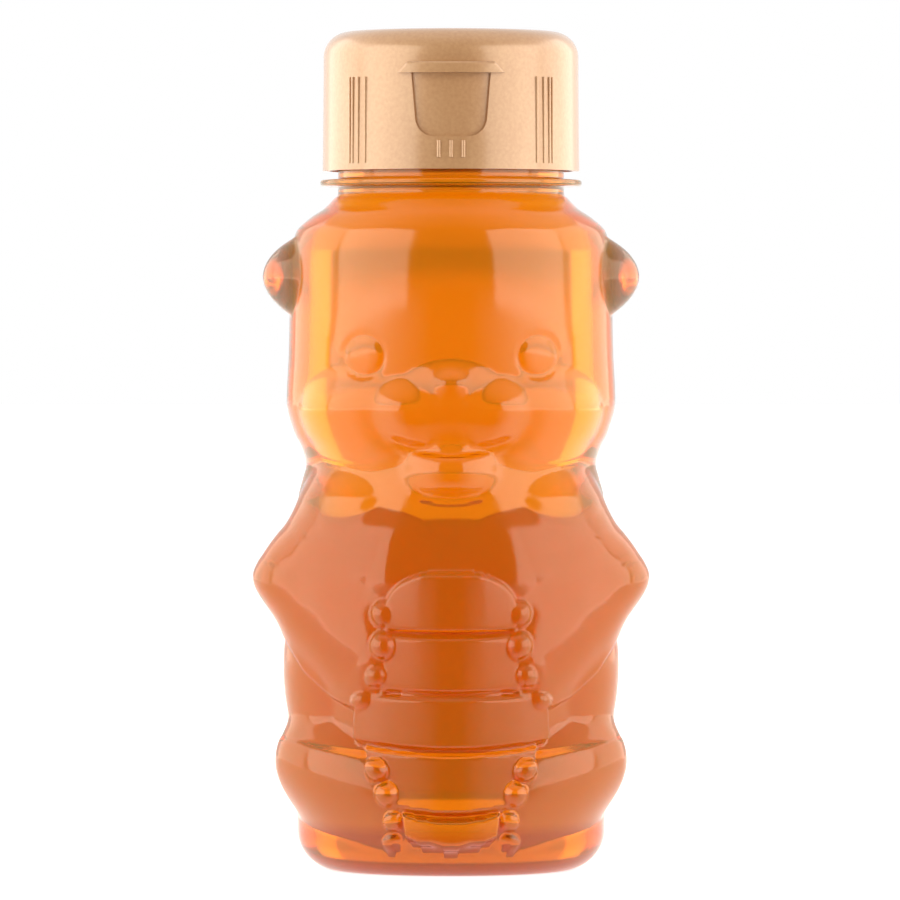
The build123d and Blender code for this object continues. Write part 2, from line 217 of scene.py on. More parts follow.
def hill(shares, angle, height):
    """How far one swelling lifts the skin, over a grid of angles and heights."""
    (start_angle, start_height), (end_angle, end_height), breadths, rises, tall, foot = shares
    along = np.radians(angle - start_angle) * half_depth
    up = height - start_height * body_height
    run = radians(end_angle - start_angle) * half_depth
    climb = (end_height - start_height) * body_height
    length = run**2 + climb**2
    t = np.clip((along * run + up * climb) / length, 0, 1) if length else 0 * along
    breadth = (breadths[0] + (breadths[1] - breadths[0]) * t) * half_depth
    rise = (rises[0] + (rises[1] - rises[0]) * t) * half_depth
    away = ((along - run * t) / breadth)**2 + ((up - climb * t) / (breadth * tall))**2
    return rise * np.maximum(1 - away, 0)**foot


print("swellings", sorted(swellings))

# %% [markdown]
# Where two hills meet, as arm and belly do, their sum would be too high and the higher one
# alone would leave a crease. The fourth root of the sum of fourth powers lies between them.

# %% The bear as one formula
swelling_blend = 4


def bear_radius(angle, height, inset=0.0):
    """The bear's distance from the axis, without its small features."""
    wide = half_width * oval_share(height, 1)
    deep = half_depth * oval_share(height, 2)
    oval = 1 / np.sqrt((np.sin(np.radians(angle)) / wide)**2 + (np.cos(np.radians(angle)) / deep)**2)
    lifts = [hill(shares, np.abs(angle), height) for shares in swellings.values()]
    lift = sum(one**swelling_blend for one in lifts)**(1 / swelling_blend)
    corner = base_corner - inset
    below = np.maximum(corner - (height - inset), 0)
    return oval + lift - inset - (corner - np.sqrt(np.maximum(corner**2 - below**2, 0)))


print("half width at the elbow", round(float(bear_radius(np.array(75.0), np.array(45.8))), 2), "mm")

# %% [markdown]
# The bear holds a round straw hive before its belly. On the real bottle it stands about a
# millimetre proud of the belly, as slices of one drum with soft grooves between them. A mould
# rounds every edge, so each slice rises over half a millimetre or so instead of at a step.

# %% The hive's measures
hive_front = 24.3
hive_drum = 27.0
hive_top = 47.5
groove_heights = [(38.0, 0.3), (29.05, 0.65), (21.0, 1.25), (11.1, 1.35), (6.3, 1.9)]
band_half_widths = [(10.3, 10.3), (10.55, 10.8), (14.65, 14.65), (13.45, 9.85), (7.9, 6.7)]
groove_half_gap = 0.28
groove_floor = 0.5
edge_soft = 0.55
hive_crown = 0.6
hive_crown_breadth = 5.0
crown_hollow = 2.3


def soft_step(value, low, high):
    """0 below low, 1 above high and an even curve between."""
    t = np.clip((value - low) / (high - low), 0, 1)
    return t * t * (3 - 2 * t)


def sagging(line, half, across):
    """A line's height, that many millimetres lower in the middle than at its ends."""
    height, sag = line
    return height - sag * np.maximum(1 - (across / half)**2, -0.3)


print("hive slices", len(band_half_widths))

# %% [markdown]
# The next function says how much of the hive there is at a place, from 0 to 1. The topmost
# slice is a dome, and the others are bands whose edges sag towards the middle.

# %% The hive's slices
def slice_outline(k, across, height):
    """One slice's half width and its bottom and top at a place."""
    top_half, bottom_half = band_half_widths[k]
    bottom = sagging(groove_heights[k], bottom_half, across)
    if k:
        top = sagging(groove_heights[k - 1], top_half, across)
        t = np.clip((height - bottom) / (top - bottom), 0, 1)
        return bottom_half + (top_half - bottom_half) * t, bottom, top
    foot = groove_heights[0][0] + (hive_top - groove_heights[0][0]) / 3
    lift = np.clip((height - foot) / (hive_top - foot), 0, 1)
    half = top_half * np.sqrt(np.maximum(1 - lift**crown_hollow, 0))
    return half, bottom, np.full_like(across, hive_top)


def hive_share(across, height):
    """Where the hive's slices are, in a front view."""
    share = np.zeros_like(across)
    for k in range(len(band_half_widths)):
        half, bottom, top = slice_outline(k, across, height)
        inside = np.minimum(half - np.abs(across), np.minimum(height - bottom, top - height))
        share = np.maximum(share, soft_step(inside - groove_half_gap, -edge_soft / 2, edge_soft))
        between = (height >= bottom) & (height <= top) & (k > 0)
        floor = soft_step(half - np.abs(across) - groove_half_gap, -edge_soft / 2, edge_soft)
        share = np.maximum(share, np.where(between, groove_floor * floor, 0))
    return share


def drum_radius(angle):
    """The hive's drum, seen from the bottle's axis."""
    back = hive_drum - hive_front
    turn = np.radians(angle)
    return -back * np.cos(turn) + np.sqrt(np.maximum(hive_drum**2 - (back * np.sin(turn))**2, 0))


middle = hive_share(np.zeros(3), np.array([20.0, 33.0, 46.0]))
print("share of hive on its middle line at 20, 33 and 46 mm", np.round(middle, 2))

# %% [markdown]
# Fingers and toes are half-sunk beads beside the hive, and the eyes are low domes with a fine
# groove round them. A bead is a hill whose side is steep at its foot.

# %% Fingers, toes and eyes
# How far across, how high, the radius, and how much of that radius sinks in
beads = [
    (10.5, 40.7, 2.31, 0.35),
    (10.6, 35.9, 2.31, 0.35),
    (11.7, 31.3, 2.01, 0.35),
    (13.35, 27.5, 1.61, -0.30),
    (11.1, 16.9, 1.85, -0.35),
    (9.9, 13.2, 2.01, 0.20),
    (8.9, 9.2, 1.80, 0.25),
    (9.2, 5.9, 1.61, 0.35),
]
eye_place = (13.4, 80.4)
eye_radius = 2.75
eye_rise = 0.42
eye_groove = 0.16
eye_groove_breadth = 0.35


def bead_lift(away, radius, sink):
    """A bead's rise over the bear at a distance from its middle."""
    return radius * (np.sqrt(np.maximum(1 - (away / radius)**2, 0)) - sink)


def eye_lift(away):
    """The eye's dome, and the groove round it."""
    dome = eye_rise * np.sqrt(np.maximum(1 - (away / eye_radius)**2, 0))
    off = (away - eye_radius - eye_groove_breadth) / eye_groove_breadth
    return dome - eye_groove * np.exp(-off**2)


print("beads on each side", len(beads))

# %% [markdown]
# The smile and the crease under the chin are shallow grooves, pressed along a curve. A groove
# is a dip that fades with the distance from its line, so one function makes them both.

# %% Smile and chin
# Half span, height in the middle, height at the ends, depth and half breadth
grooves = {
    "smile": (10.2, 65.4, 67.8, 0.70, 0.65),
    "under chin": (6.2, 58.5, 59.3, 0.55, 0.9),
}


def groove_dip(across, height):
    """How deep the grooves are at a place in front view."""
    dip = np.zeros_like(across)
    for span, middle, ends, depth, breadth in grooves.values():
        line = middle + (ends - middle) * (across / span)**2
        fade = 1 - soft_step(np.abs(across), 0.72 * span, span)
        dip = dip + depth * fade * np.exp(-((height - line) / breadth)**2)
    return dip


print("grooves", sorted(grooves))

# %% [markdown]
# Sleeves and legs are a step proud of the body, and the step fades away from its edge. Each
# edge is a row of places from the inside outwards, then the step's height, its softness and
# how far it fades. A minus means that the step's full height is below the edge.

# %% Sleeves and legs
edges = {
    "sleeve": ([9.0, 14.6, 17.8, 22.0, 25.0, 27.5, 32.0],
               [25.5, 26.0, 27.5, 31.3, 36.0, 39.2, 41.0], 1.1, 0.8, 14.0),
    "upper fold": ([16.0, 18.0, 24.7, 32.0], [50.0, 50.7, 53.0, 55.0], -0.32, 1.8, 6.5),
    "lower fold": ([16.0, 18.0, 27.0, 32.0], [44.5, 45.2, 48.3, 50.0], -0.34, 1.8, 7.5),
    "leg": ([9.0, 15.0, 26.0, 32.0], [19.0, 19.4, 21.0, 22.0], -0.35, 1.0, 12.0),
}
inner_ramp = 5


def step_lift(across, height):
    """How proud the steps are at a place in front view."""
    lift = np.zeros_like(across)
    for outward, upward, rise, soft, fade in edges.values():
        line = np.interp(np.abs(across), outward, upward)
        up = (height - line) * (1 if rise > 0 else -1)
        inner = soft_step(np.abs(across), outward[0], outward[0] + inner_ramp)
        edge = soft_step(up, -soft / 2, soft / 2) * (1 - soft_step(up, soft, fade))
        lift = lift + abs(rise) * inner * edge
    return lift


print("edges", sorted(edges))

# %% [markdown]
# The two halves of the mould meet at the bear's sides, where they leave a faint line. The last
# function puts it all together. A bead stands on the bear's own surface, so the function first
# feels for the angle at which that surface is as far across as the bead.

# %% All the bear's small features
seam_rise = 0.08
seam_breadth = 0.25
front_edge = 75
steps_fade = (62, 92)
feeling_steps = 8


def bead_foot(x, z):
    """How far from the axis the bear's surface is under a bead."""
    turn = degrees(asin(x / half_width))
    for _ in range(feeling_steps):
        foot = float(bear_radius(np.array(turn), np.array(z)))
        turn = degrees(asin(x / foot))
    return foot


def skin_radius(angle, height):
    """The bear with all its small features."""
    radius = bear_radius(angle, height)
    from_seam = (np.abs(angle) - 90) * pi / 180 * radius
    radius = radius + seam_rise * np.exp(-(from_seam / seam_breadth)**2)
    across = radius * np.sin(np.radians(angle))
    front = np.abs(angle) < front_edge
    radius = radius - np.where(front, groove_dip(across, height), 0)
    radius = radius + (1 - soft_step(np.abs(angle), *steps_fade)) * step_lift(across, height)
    share = np.where(front, hive_share(across, height), 0)
    crown = hive_crown * np.exp(-(across / hive_crown_breadth)**2)
    radius = radius + share * np.maximum(drum_radius(angle) + crown - radius, 0)
    for x, z, size, sink in beads:
        away = np.sqrt((np.abs(across) - x)**2 + (height - z)**2)
        bead = bead_foot(x, z) + bead_lift(away, size, sink)
        radius = np.where(front & (away < size), np.maximum(radius, bead), radius)
    away = np.sqrt((np.abs(across) - eye_place[0])**2 + (height - eye_place[1])**2)
    return radius + np.where(front, eye_lift(away), 0)


hive_place = skin_radius(np.array([0.0]), np.array([25.0]))
print("the hive's front is", round(float(hive_place[0]), 2), "mm from the axis")

# %% [markdown]
# The neck carries a thread of four and a quarter millimetres to the turn, a ring by which the
# filling line held the bottle, and a rounded lip. A thread is a ridge whose height depends on
# the place along a helix, so it can be part of the same grid.

# %% The neck's measures
neck_radius = 17.65
neck_bore = 15.9
mouth_height = 120.4
honey_level = 112.0
pitch = 4.23
thread_crest = 18.6
thread_start = 110.6
thread_end = 118.4
thread_crest_half = 0.45
thread_flank = 0.6
thread_run_out = 0.4
thread_run_in = 1.2


def ridge(turns_off, crest_half, flank):
    """A thread's section: 1 on the crest, falling to 0 along both flanks."""
    return 1 - soft_step(np.abs(turns_off), crest_half, crest_half + flank)


def neck_thread(angle, height):
    """The thread's rise at an angle and a height."""
    along = (height - thread_start) / pitch - angle / 360
    off = (along - np.round(along)) * pitch
    fade = soft_step(height, thread_start - thread_run_out, thread_start + thread_run_in)
    fade = fade * (1 - soft_step(height, thread_end - thread_run_in, thread_end + thread_run_out))
    return (thread_crest - neck_radius) * ridge(off, thread_crest_half, thread_flank) * fade


print("thread", round((thread_end - thread_start) / pitch, 2), "turns")

# %% [markdown]
# Now the skin itself. Clear plastic looks right only if a ray of light meets each boundary
# once. A filled bottle has two kinds of boundary: outside, where air meets the wall, and
# inside, where the wall or the honey meets the air over the honey. Wall and honey bend light
# almost alike, so between them there is nothing to see. That is why this mesh runs up the
# outside, over the lip, down the bore and across the honey's top, and closes there.
#
# The grid is finer in front, where the hive and the face have small features.

# %% The skin's grid
def spaced(*runs):
    """Values in a row of runs, each given as start, end and a number of steps."""
    values = [np.linspace(start, end, count, endpoint=False) for start, end, count in runs]
    return np.concatenate(values + [[runs[-1][1]]])


half_turn = spaced((0, 40, 72), (40, 62, 22), (62, 86, 18), (86, 94, 16), (94, 108, 8),
                   (108, 180, 22))
skin_angles = np.concatenate([-half_turn[:0:-1], half_turn[:-1]])
corner_turn = np.linspace(0, pi / 2, 12, endpoint=False)
body_rows = np.concatenate([
    base_corner * (1 - np.cos(corner_turn)),
    spaced((base_corner, 50, 124), (50, 58, 14), (58, 90, 66), (90, body_height, 30)),
])
print("columns", len(skin_angles), "rows on the body", len(body_rows))

# %% [markdown]
# The bottle stands on a ring, because its bottom is pushed up in a flat dome, part of a ball.

# %% The push-up bottom
push_up_rim = 13.39
push_up_height = 2.6
ball = (push_up_rim**2 + push_up_height**2) / (2 * push_up_height)
dome_radii = push_up_rim * np.linspace(0.1, 1, 8)
dome_heights = np.sqrt(ball**2 - dome_radii**2) - ball + push_up_height
print("the push-up is part of a ball of", round(ball, 1), "mm radius")

# %% [markdown]
# From the bottom upwards the rings are the dome, the bear, the ring under the cap, the thread
# and the lip. Then they go down the bore to the honey's top.

# %% The bottle's skin
carrying_ring = [
    (17.75, 105.2), (17.65, 105.6), (17.65, 106.5), (17.8, 106.7), (20.1, 106.7), (20.33, 106.8),
    (20.4, 107.0), (20.4, 107.4), (20.33, 107.6), (20.1, 107.7), (17.8, 107.7), (17.65, 107.9),
]
bore_and_level = [
    (16.2, 120.4), (15.97, 120.3), (neck_bore, 120.1), (neck_bore, 116.0), (neck_bore, 112.5),
    (15.75, 112.15), (15.3, honey_level), (8.0, honey_level), (1.0, honey_level),
]
lip_round = 0.5
rows = []
levels = []


def add_row(radii, height):
    """One more ring of the skin."""
    rows.append(np.broadcast_to(radii, skin_angles.shape))
    levels.append(height)


for radius, height in zip(dome_radii, dome_heights):
    add_row(radius, height)
for height in body_rows:
    add_row(skin_radius(skin_angles, np.full_like(skin_angles, height)), height)
for radius, height in carrying_ring:
    add_row(radius, height)
for height in np.linspace(108.3, 119.9, 34):
    add_row(neck_radius + neck_thread(skin_angles, height), height)
for turn in np.linspace(0.2, pi / 2, 5):
    add_row(neck_radius - lip_round * (1 - cos(turn)), mouth_height - lip_round * (1 - sin(turn)))
for radius, height in bore_and_level:
    add_row(radius, height)

skin = turned("bottle_skin", skin_angles, np.array(rows), levels,
              start=push_up_height, end=honey_level)
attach(skin, "bear")
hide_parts("bottle")
print("skin faces", len(skin.data.polygons))

# %% [markdown]
# The honey fills the room inside the wall. Its own mesh is drawn nine tenths of a millimetre
# in from the skin. It bends no light, because the skin has done that already, but it takes
# colour out of the light that passes: little red, more green and nearly all blue. So thin
# places such as the ears look pale, and the middle of the body looks deep amber.

# %% The honey
honey_inset = 0.9
honey_top = 111.98
honey_neck = [
    (15.8, 104.6), (15.8, 108.0), (15.8, 111.6), (15.3, 111.95), (8.0, honey_top), (1.0, honey_top),
]
honey_angles = np.linspace(-180, 180, 144, endpoint=False)
inner_ball = ball + honey_inset
honey_heights = np.concatenate([
    honey_inset + (base_corner - honey_inset) * (1 - np.cos(corner_turn[1:])),
    spaced((base_corner, 100, 150), (100, body_height - honey_inset, 10)),
])
honey_rows = []
honey_levels = []
for radius in push_up_rim * np.linspace(0.15, 0.98, 6):
    honey_rows.append(np.full_like(honey_angles, radius))
    honey_levels.append(sqrt(inner_ball**2 - radius**2) - ball + push_up_height)
for height in honey_heights:
    honey_rows.append(bear_radius(honey_angles, np.full_like(honey_angles, height), honey_inset))
    honey_levels.append(height)
for radius, height in honey_neck:
    honey_rows.append(np.full_like(honey_angles, radius))
    honey_levels.append(height)
honey = turned("honey_fill", honey_angles, np.array(honey_rows), honey_levels,
               start=push_up_height + honey_inset, end=honey_top)
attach(honey, "bear")
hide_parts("honey")
print("honey faces", len(honey.data.polygons))

# %% [markdown]
# A label and a strap are sheets: a front grid and a back grid of the same points, with a rim
# between them. One helper makes the faces of both.

# %% Sheet helper
def sheet_faces(wide, tall, turned_over=False):
    """Faces of a closed sheet whose points are first one side's grid and then the other's."""
    faces = []
    for side in range(2):
        for r in range(tall - 1):
            for c in range(wide - 1):
                a = side * wide * tall + r * wide + c
                face = (a, a + 1, a + wide + 1, a + wide)
                faces.append(face if bool(side) != turned_over else face[::-1])
    rim = [c for c in range(wide)] + [r * wide + wide - 1 for r in range(1, tall)]
    rim += [(tall - 1) * wide + c for c in range(wide - 2, -1, -1)]
    rim += [r * wide for r in range(tall - 2, 0, -1)]
    for one, two in zip(rim, rim[1:] + rim[:1]):
        if turned_over:
            faces.append((two, one, one + wide * tall, two + wide * tall))
        else:
            faces.append((one, two, two + wide * tall, one + wide * tall))
    return faces


# %% [markdown]
# A bare film label is glued round the back. Glue leaves no air, so the label's inner face is
# sunk a hair into the wall: light inside the honey then meets the label itself, and it shows
# through as the redder field behind the belly. Its corners are rounded by cutting each column
# of points shorter near the ends.

# %% The back label
label_low = 10.5
label_high = 51.5
label_reach = 5.77
label_corner = 3.0
label_inner = -0.10
label_outer = 0.20
label_rows = 25
last_angle = degrees(pi / 2 + asin(label_reach / half_depth))
label_angles = np.linspace(last_angle, 360 - last_angle, 97)
half_span = np.abs(label_angles - label_angles[len(label_angles) // 2]).max()
from_end = np.radians(half_span - np.abs(label_angles - 180)) * half_width
round_cut = label_corner - np.sqrt(np.maximum(label_corner**2 - (label_corner - from_end)**2, 0))
label_cut = np.where(from_end < label_corner, round_cut, 0)
label_points = []
for shift in (label_inner, label_outer):
    for share in np.arange(label_rows) / (label_rows - 1):
        for turn, cut in zip(np.radians(label_angles), label_cut):
            wide = sin(turn) / (half_width + shift)
            deep = cos(turn) / (half_depth + shift)
            reach = 1 / sqrt(wide**2 + deep**2)
            height = label_low + cut + (label_high - label_low - 2 * cut) * share
            label_points.append((reach * sin(turn), -reach * cos(turn), height))
label = make_piece("rear_label", label_points, sheet_faces(len(label_angles), label_rows))
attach(label, "bear")
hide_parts("back_label")
print("label spans", round(float(label_angles[-1] - label_angles[0])), "degrees")

# %% [markdown]
# The cap is one shot of plastic. Inside it runs a thread that takes hold under the bottle's
# own. It's a thin sleeve that lies on the cap's bore and follows the same helix, half a turn on.

# %% The cap's thread
cap_bore = 18.95
cap_thread_crest = 18.1
cap_thread_low = 110.2
cap_thread_high = 119.6
sleeve_lap = 0.02
sleeve_back = 0.1
cap_crest_half = 0.3
thread_angles = np.linspace(0, 360, 240, endpoint=False)
thread_rows = []
thread_levels = []
for height in np.linspace(cap_thread_low, cap_thread_high, 76):
    along = (height - thread_start) / pitch - thread_angles / 360 + 0.5
    off = (along - np.round(along)) * pitch
    fade = soft_step(height, 110.6, 111.8) * (1 - soft_step(height, 118.2, 119.4))
    rise = (cap_bore - cap_thread_crest) * ridge(off, cap_crest_half, thread_flank) * fade
    thread_rows.append(cap_bore - sleeve_lap - rise)
    thread_levels.append(height)
for height in (cap_thread_high, cap_thread_low):
    thread_rows.append(np.full_like(thread_angles, cap_bore + sleeve_back))
    thread_levels.append(height)
thread_rows.append(thread_rows[0])
thread_levels.append(thread_levels[0])
cap_thread = turned("cap_thread", thread_angles, np.array(thread_rows), thread_levels)
cap_thread.data.flip_normals()
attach(cap_thread, "cap")
print("cap thread faces", len(cap_thread.data.polygons))

# %% [markdown]
# Behind the cap three straps join the base and the lid: a stiff spring between two thin films.
# They bend when the lid opens. Here each is a fine, straight grid that runs across the
# parting, a little onto both parts.

# %% The hinge's straps
parting = 123.85
hinge_back = 20.05
strap_lap = 0.02


def strap(name, centre, half_breadth, thickness, reach):
    """A strap across the parting, thickest in its middle and thin at its edges."""
    across = np.linspace(-1, 1, 13)
    up = np.linspace(-1, 1, 41)
    points = []
    for side in (0, 1):
        for u in up:
            for a in across:
                stand = side * thickness * (1 - 0.5 * a**6) * (1 - 0.5 * u**8)
                points.append((centre + half_breadth * a, hinge_back - strap_lap + stand,
                               parting + reach * u))
    piece = make_piece(name, points, sheet_faces(len(across), len(up), turned_over=True))
    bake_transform(piece)
    return piece


film_left = strap("film_left", 6.2, 1.6, 0.3, 1.3)
film_right = strap("film_right", -6.2, 1.6, 0.3, 1.3)
spring_strap = strap("spring_strap", 0.0, 2.6, 0.5, 2.2)
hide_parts("hinge_film_left")
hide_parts("hinge_film_right")
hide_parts("hinge_spring")
straps = [film_left, film_right, spring_strap]
print("straps", [piece.name for piece in straps])

# %% [markdown]
# Materials. Each starts from Blender's Principled shader, which stands for most surfaces that a
# maker knows. What's the same all over a piece is a plain value on one of its sockets.

# %% Material helpers
def new_material(name, **sockets):
    """A material with one Principled shader, and plain values on its sockets."""
    material = bpy.data.materials.new(name)
    material.use_nodes = True
    shader = material.node_tree.nodes["Principled BSDF"]
    for socket, value in sockets.items():
        shader.inputs[socket.replace("_", " ")].default_value = value
    return material, material.node_tree, shader


def wear(piece, material):
    """Dresses a piece in one material."""
    piece.data.materials.clear()
    piece.data.materials.append(material)


def absorb(tree, colour, density):
    """Lets the inside of a piece take colour out of the light."""
    volume = tree.nodes.new("ShaderNodeVolumeAbsorption")
    volume.inputs["Color"].default_value = (*colour, 1)
    volume.inputs["Density"].default_value = density
    tree.links.new(volume.outputs["Volume"], tree.nodes["Material Output"].inputs["Volume"])


# %% [markdown]
# What varies over a piece is made by nodes, and a node graph is a formula. Each of these
# helpers writes one step of it, so that a finish reads like a recipe.

# %% Node helpers
def feed(tree, value, socket):
    """Puts a number, a colour or another node's output into a socket."""
    if isinstance(value, bpy.types.NodeSocket):
        tree.links.new(value, socket)
    else:
        socket.default_value = value


def reckon(tree, operation, one, other=0.0):
    """A sum on one or two values."""
    node = tree.nodes.new("ShaderNodeMath")
    node.operation = operation
    feed(tree, one, node.inputs[0])
    feed(tree, other, node.inputs[1])
    return node.outputs[0]


def rising(tree, value, start, end, low=0.0, high=1.0):
    """Low where the value is at the start, high at the end, and in between between them."""
    node = tree.nodes.new("ShaderNodeMapRange")
    node.inputs["From Min"].default_value = start
    node.inputs["From Max"].default_value = end
    node.inputs["To Min"].default_value = low
    node.inputs["To Max"].default_value = high
    tree.links.new(value, node.inputs["Value"])
    return node.outputs["Result"]


def two_tones(tree, share, one, other):
    """The first colour where the share is 0, the other where it is 1."""
    node = tree.nodes.new("ShaderNodeMix")
    node.data_type = "RGBA"
    feed(tree, share, node.inputs["Factor"])
    feed(tree, one, node.inputs["A"])
    feed(tree, other, node.inputs["B"])
    return node.outputs["Result"]


# %% [markdown]
# Patterns start from the place on the piece, so they stay put when the piece moves, and they
# need no picture.

# %% Pattern helpers
def place_on(tree):
    """The place on the piece, in metres."""
    return tree.nodes.new("ShaderNodeTexCoord").outputs["Object"]


def split(tree, place):
    """A place's three numbers."""
    node = tree.nodes.new("ShaderNodeSeparateXYZ")
    tree.links.new(place, node.inputs[0])
    return node.outputs["X"], node.outputs["Y"], node.outputs["Z"]


def noise(tree, place, scale, detail):
    """Cloudy patches: the higher the scale, the smaller they are."""
    node = tree.nodes.new("ShaderNodeTexNoise")
    node.inputs["Scale"].default_value = scale
    node.inputs["Detail"].default_value = detail
    tree.links.new(place, node.inputs["Vector"])
    return node.outputs[0]


def bumps(tree, shader, height, strength, distance):
    """Lets a pattern catch the light as relief would."""
    node = tree.nodes.new("ShaderNodeBump")
    node.inputs["Strength"].default_value = strength
    node.inputs["Distance"].default_value = distance
    tree.links.new(height, node.inputs["Height"])
    tree.links.new(node.outputs["Normal"], shader.inputs["Normal"])


# %% [markdown]
# The wall is clear plastic with honey right behind it, so part of the honey's colour is given
# to the wall: the light that goes through takes on amber at the skin as well as inside. Three
# places differ. The ears hold little honey and look pale. The base is the thickest part and is
# darker. And above the honey the neck is bare, so it's as clear as the plastic itself. A blown
# wall isn't quite even either: cloudy patches make it a little duller here and there.

# %% Clear wall
amber = (0.986, 0.79, 0.0)
amber_density = 172.0
wall_part = 0.6
full_wall = (1.0, 0.66, 0.01, 1)
ear_wall = (1.0, 0.92, 0.60, 1)
base_wall = (0.72, 0.38, 0.01, 1)
bare_wall = (0.99, 0.97, 0.93, 1)

wall_material, tree, shader = new_material(
    "clear_wall", Base_Color=full_wall, Roughness=0.13, IOR=1.5, Transmission_Weight=0.86)
absorb(tree, amber, amber_density * wall_part)
place = place_on(tree)
x, y, z = split(tree, place)
far_out = rising(tree, reckon(tree, "ABSOLUTE", x), 0.0245, 0.0265)
ear = reckon(tree, "MULTIPLY", far_out, rising(tree, z, 0.083, 0.087))
tint = two_tones(tree, ear, full_wall, ear_wall)
tint = two_tones(tree, rising(tree, z, 0.0085, 0.0065), tint, base_wall)
tint = two_tones(tree, rising(tree, z, 0.1118, 0.1124), tint, bare_wall)
tree.links.new(tint, shader.inputs["Base Color"])
dull = rising(tree, noise(tree, place, 60.0, 4.0), 0.3, 0.7, 0.08, 0.14)
tree.links.new(dull, shader.inputs["Roughness"])
wear(skin, wall_material)
print("wall takes", wall_part, "of the amber")

# %% [markdown]
# The honey bends no light of its own here, so its glass has an index of 1. Fine crystals cloud
# it a little, in patches of about a centimetre.

# %% Amber honey
clear_honey = (1.0, 1.0, 1.0, 1)
cloudy_honey = (1.0, 0.975, 0.93, 1)
honey_material, tree, shader = new_material(
    "amber_honey", Base_Color=clear_honey, Roughness=0.0, IOR=1.0, Transmission_Weight=1.0)
absorb(tree, amber, amber_density * (1 - wall_part))
crystals = noise(tree, place_on(tree), 90.0, 5.0)
tree.links.new(two_tones(tree, crystals, clear_honey, cloudy_honey), shader.inputs["Base Color"])
wear(honey, honey_material)
print("honey takes", round(1 - wall_part, 2), "of the amber")

# %% [markdown]
# Label film has a fine grain, which the press leaves in both its tone and its surface. Seen
# through the honey it makes the lower body redder.

# %% Label film
film_material, tree, shader = new_material(
    "label_film", Base_Color=(0.83, 0.44, 0.28, 1), Roughness=0.45)
grain = noise(tree, place_on(tree), 700.0, 5.0)
film_tone = two_tones(tree, grain, (0.84, 0.50, 0.34, 1), (0.86, 0.47, 0.30, 1))
tree.links.new(film_tone, shader.inputs["Base Color"])
bumps(tree, shader, grain, 0.05, 0.00004)
wear(label, film_material)
print("label film on", label.name)

# %% [markdown]
# The cap is pearl gold. Pearl pigment is fine flakes that differ a little in colour, in streaks
# where the melt flowed into the mould. A clear coat over a soft, barely metallic base gives the
# pale sheen at the cap's sides.

# %% Pearl gold
gold_material, tree, shader = new_material(
    "pearl_gold", Base_Color=(0.60, 0.34, 0.17, 1), Roughness=0.35, Metallic=0.12,
    Coat_Weight=1.0, Coat_Roughness=0.2)
place = place_on(tree)
flake = noise(tree, place, 1800.0, 3.0)
stretch = tree.nodes.new("ShaderNodeMapping")
stretch.inputs["Scale"].default_value = (1, 1, 0.25)
tree.links.new(place, stretch.inputs["Vector"])
streak = noise(tree, stretch.outputs["Vector"], 120.0, 3.0)
flow = rising(tree, reckon(tree, "ADD", flake, streak), 0.7, 1.3)
pearl = two_tones(tree, flow, (0.50, 0.26, 0.12, 1), (0.58, 0.33, 0.165, 1))
tree.links.new(pearl, shader.inputs["Base Color"])
tree.links.new(rising(tree, flake, 0.0, 1.0, 0.32, 0.40), shader.inputs["Roughness"])
bumps(tree, shader, flake, 0.12, 0.00005)
for name in ("cap_base", "cap_lid"):
    for slot in nodes[name].material_slots:
        slot.material = gold_material
for piece in [cap_thread] + straps:
    wear(piece, gold_material)
print("pearl gold on the cap,", cap_thread.name, "and", len(straps), "straps")

# %% [markdown]
# The liner in the cap is white foam. Its cells show as small pits, with painted shade that makes each
# pit darker at heart.

# %% Liner foam
foam_material, tree, shader = new_material(
    "liner_foam", Base_Color=(0.88, 0.87, 0.84, 1), Roughness=0.7)
cells = tree.nodes.new("ShaderNodeTexVoronoi")
cells.inputs["Scale"].default_value = 2500.0
tree.links.new(place_on(tree), cells.inputs["Vector"])
pits = cells.outputs["Distance"]
# Painted shade: the colour darkens towards each cell's middle, where the pit is deepest.
foam_pit_shade_tone = two_tones(tree, pits, (0.80, 0.78, 0.73, 1), (0.90, 0.89, 0.86, 1))
tree.links.new(foam_pit_shade_tone, shader.inputs["Base Color"])
bumps(tree, shader, pits, 0.4, 0.0001)
for slot in nodes["cap_liner"].material_slots:
    slot.material = foam_material
print("foam on the liner")

# %% [markdown]
# The studio has a pale floor. It glows for the camera, so that it meets the white behind
# without a line and still shows the bottle's shadow. Straight in front of the bottle the floor
# turns near black to mirrors alone, a painted shade that keeps the middle of the bear deep.
# Beside that strip the floor glows for mirrors, a painted reflection that brightens the bear's lower
# sides.

# %% The floor
bpy.context.scene.view_settings.view_transform = "Standard"
pale = (0.85, 0.85, 0.85, 1)
dark = (0.02, 0.02, 0.02, 1)
bpy.ops.mesh.primitive_plane_add(size=12, location=(0, 0, 0))
floor = bpy.context.object
floor.name = "floor"
floor_material, tree, shader = new_material("pale_floor", Base_Color=pale, Roughness=0.9)
path = tree.nodes.new("ShaderNodeLightPath")
x, y, z = split(tree, place_on(tree))
ahead = rising(tree, y, -0.026, -0.07)
aside = reckon(tree, "ABSOLUTE", reckon(tree, "DIVIDE", x, y))
strip = reckon(tree, "MULTIPLY", ahead, rising(tree, aside, 1.3, 0.25))
# Painted shade: mirror rays that land on this strip see a near-black floor.
mirror_shade_strip = reckon(tree, "MULTIPLY", strip, path.outputs["Is Reflection Ray"])
tree.links.new(two_tones(tree, mirror_shade_strip, pale, dark), shader.inputs["Base Color"])
print("floor", floor.name)
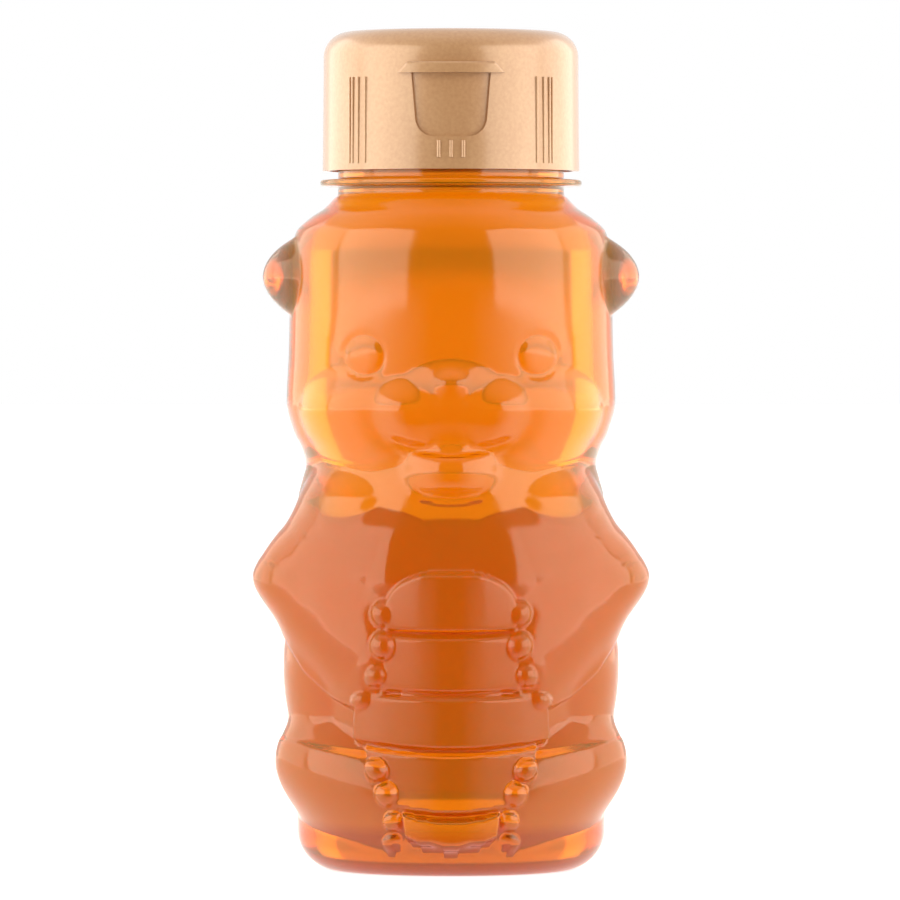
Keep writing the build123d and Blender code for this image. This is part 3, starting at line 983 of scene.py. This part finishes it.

# %% [markdown]
# The glow is added to the floor's own shader, so the shadow is still there underneath. Two
# kinds of ray see it: the camera's, and those that a mirror sends to the floor beside the dark
# strip. For those mirror rays it is a painted reflection.

# %% The floor's glow
camera_glow = 0.8
mirror_glow = 0.7
for_camera = reckon(tree, "MULTIPLY", path.outputs["Is Camera Ray"], camera_glow)
# Painted reflection: mirror rays beside the strip see the floor glow.
beside = reckon(tree, "SUBTRACT", path.outputs["Is Reflection Ray"], mirror_shade_strip)
for_mirrors = reckon(tree, "MULTIPLY", beside, mirror_glow)
glow = tree.nodes.new("ShaderNodeEmission")
glow.inputs["Color"].default_value = (1, 1, 1, 1)
tree.links.new(reckon(tree, "ADD", for_camera, for_mirrors), glow.inputs["Strength"])
both = tree.nodes.new("ShaderNodeAddShader")
tree.links.new(shader.outputs[0], both.inputs[0])
tree.links.new(glow.outputs[0], both.inputs[1])
tree.links.new(both.outputs[0], tree.nodes["Material Output"].inputs["Surface"])
wear(floor, floor_material)
print("floor glows for the camera at", camera_glow)

# %% [markdown]
# A soft box on each side in front makes the pale veils on forehead and sleeves. Two weaker ones
# at the back light the rims, and the film label. All are a little warm, because the photograph
# shows the veils in a warm white.

# %% Soft boxes
warm = (1.0, 0.94, 0.80)
lamp_distance = 1.1
lamp_height = 0.25
aim_height = 0.07


def soft_box(name, azimuth, width, tall, power):
    """A lamp as a lit panel that faces the bottle."""
    data = bpy.data.lights.new(name, "AREA")
    data.shape = "RECTANGLE"
    data.size = width
    data.size_y = tall
    data.energy = power
    data.color = warm
    lamp = bpy.data.objects.new(name, data)
    turn = radians(azimuth)
    lamp.location = (lamp_distance * sin(turn), -lamp_distance * cos(turn), lamp_height)
    aim = Vector((0, 0, aim_height)) - lamp.location
    lamp.rotation_euler = aim.to_track_quat("-Z", "Y").to_euler()
    bpy.context.scene.collection.objects.link(lamp)


soft_box("left_box", -58, 1.15, 1.2, 13)
soft_box("right_box", 58, 1.15, 1.2, 13)
soft_box("left_wall", -116, 1.1, 1.2, 7)
soft_box("right_wall", 116, 1.1, 1.2, 7)
print("lamps", sorted(bpy.data.lights.keys()))

# %% [markdown]
# The world is white to the camera and to light that has come through the bottle. To all other
# light the room is dark in front and bright behind, which gives the bear its dark middle.

# %% The world
room_dark = 0.10
room_bright = 1.0
dim_for_matt = 0.75
world = bpy.data.worlds.new("studio")
world.use_nodes = True
bpy.context.scene.world = world
tree = world.node_tree
back = tree.nodes["Background"]
back.inputs["Color"].default_value = (1, 1, 1, 1)
path = tree.nodes.new("ShaderNodeLightPath")
white = reckon(tree, "MAXIMUM", path.outputs["Is Camera Ray"], path.outputs["Is Transmission Ray"])
x, y, z = split(tree, tree.nodes.new("ShaderNodeTexCoord").outputs["Generated"])
room = rising(tree, y, -0.8, -0.1, room_dark, room_bright)
dimmer = rising(tree, path.outputs["Is Diffuse Ray"], 0.0, 1.0, 1.0, dim_for_matt)
room = reckon(tree, "MULTIPLY", room, dimmer)
tree.links.new(reckon(tree, "MAXIMUM", white, room), back.inputs["Strength"])
print("world", world.name)
